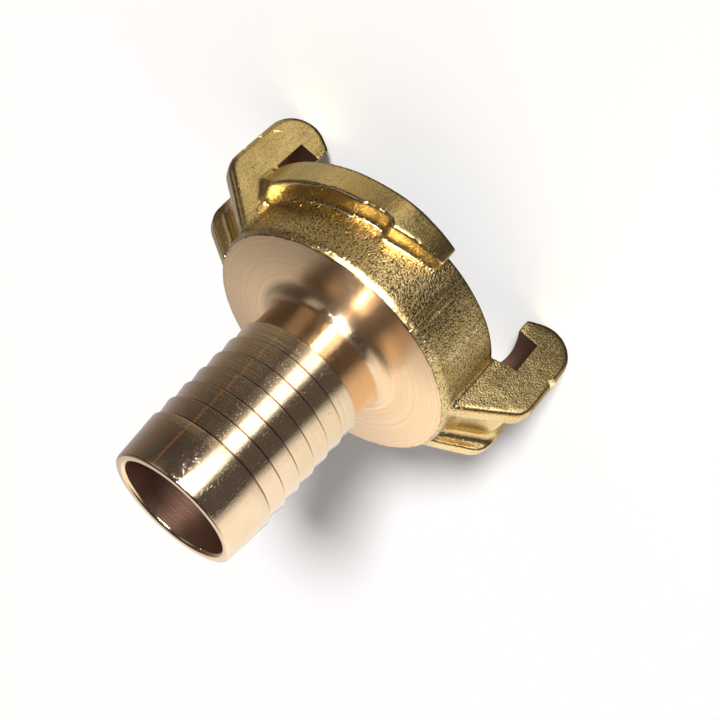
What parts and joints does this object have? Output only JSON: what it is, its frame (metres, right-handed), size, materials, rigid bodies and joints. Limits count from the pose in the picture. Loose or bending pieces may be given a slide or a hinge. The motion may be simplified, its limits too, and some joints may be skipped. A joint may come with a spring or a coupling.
{
  "type": "claw coupling hose tail",
  "caption": "Brass claw coupling half with two hooked claws, stepped ramp flanges and a barbed hose tail, joined by a quarter turn.",
  "frame": {"origin": "on the axis of the bore, in the plane that the noses of the two claws stand on", "axes": "+Z along the bore's axis from the claws to the mouth of the hose tail; the two claws lie on the X axis; the form repeats after half a turn about Z, but for the backs of the claws, which stand higher on the +Y side"},
  "size_m": [0.0536, 0.045, 0.0534],
  "materials": {
    "brass": "forged, with turned hose tail and faces",
    "rubber": "moulded, matt"
  },
  "bodies": {
    "root": {"coupling_body": "brass", "sealing_ring": "rubber"}
  },
  "joints": []
}
